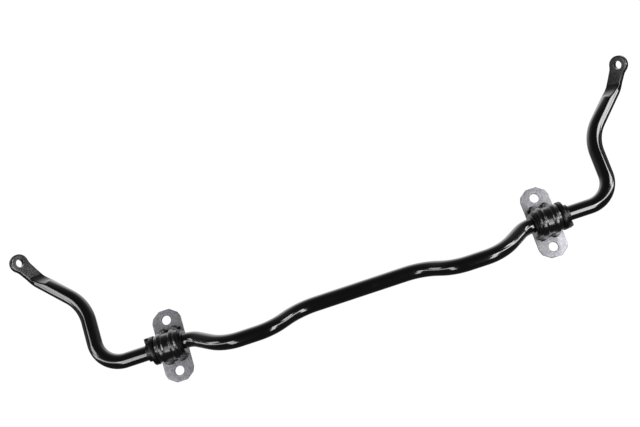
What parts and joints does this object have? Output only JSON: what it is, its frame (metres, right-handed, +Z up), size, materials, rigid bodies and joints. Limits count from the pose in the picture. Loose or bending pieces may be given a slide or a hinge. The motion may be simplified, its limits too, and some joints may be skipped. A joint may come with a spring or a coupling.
{
  "type": "sway bar",
  "caption": "Bent round steel bar with flattened eye ends, held by two rubber bushings in saddle brackets on eared base plates.",
  "frame": {"origin": "middle of the footprint, on the plane of the two base plates' undersides", "axes": "+X along the bar, towards the right-hand bracket; +Y from the brackets towards the eyes; +Z up from the mounting plane"},
  "size_m": [0.9174, 0.2398, 0.0605],
  "materials": {
    "bar_paint": "gloss black coat",
    "saddle_paint": "gloss black coat on pressed steel",
    "grey_steel": "dull grey, finely speckled",
    "rubber": "matt moulded black"
  },
  "bodies": {
    "left_mount": {"left_base_plate": "grey_steel", "left_saddle": "saddle_paint", "left_bushing": "rubber"},
    "bar": {"stabilizer_bar": "bar_paint"},
    "right_mount": {"right_base_plate": "grey_steel", "right_saddle": "saddle_paint", "right_bushing": "rubber"}
  },
  "joints": [
    {"name": "bar_hinge", "type": "hinge", "parent": "left_mount", "child": "bar", "pos_m": [0, -0.07118, 0.024], "axis": [1, 0, 0], "range_deg": [-25, 25]},
    {"name": "right_mount_hinge", "type": "hinge", "parent": "bar", "child": "right_mount", "pos_m": [0, -0.07118, 0.024], "axis": [1, 0, 0], "range_deg": [-25, 25]}
  ],
  "couplings": [
    {"joint": "right_mount_hinge", "follows": "bar_hinge", "ratio": -1}
  ]
}
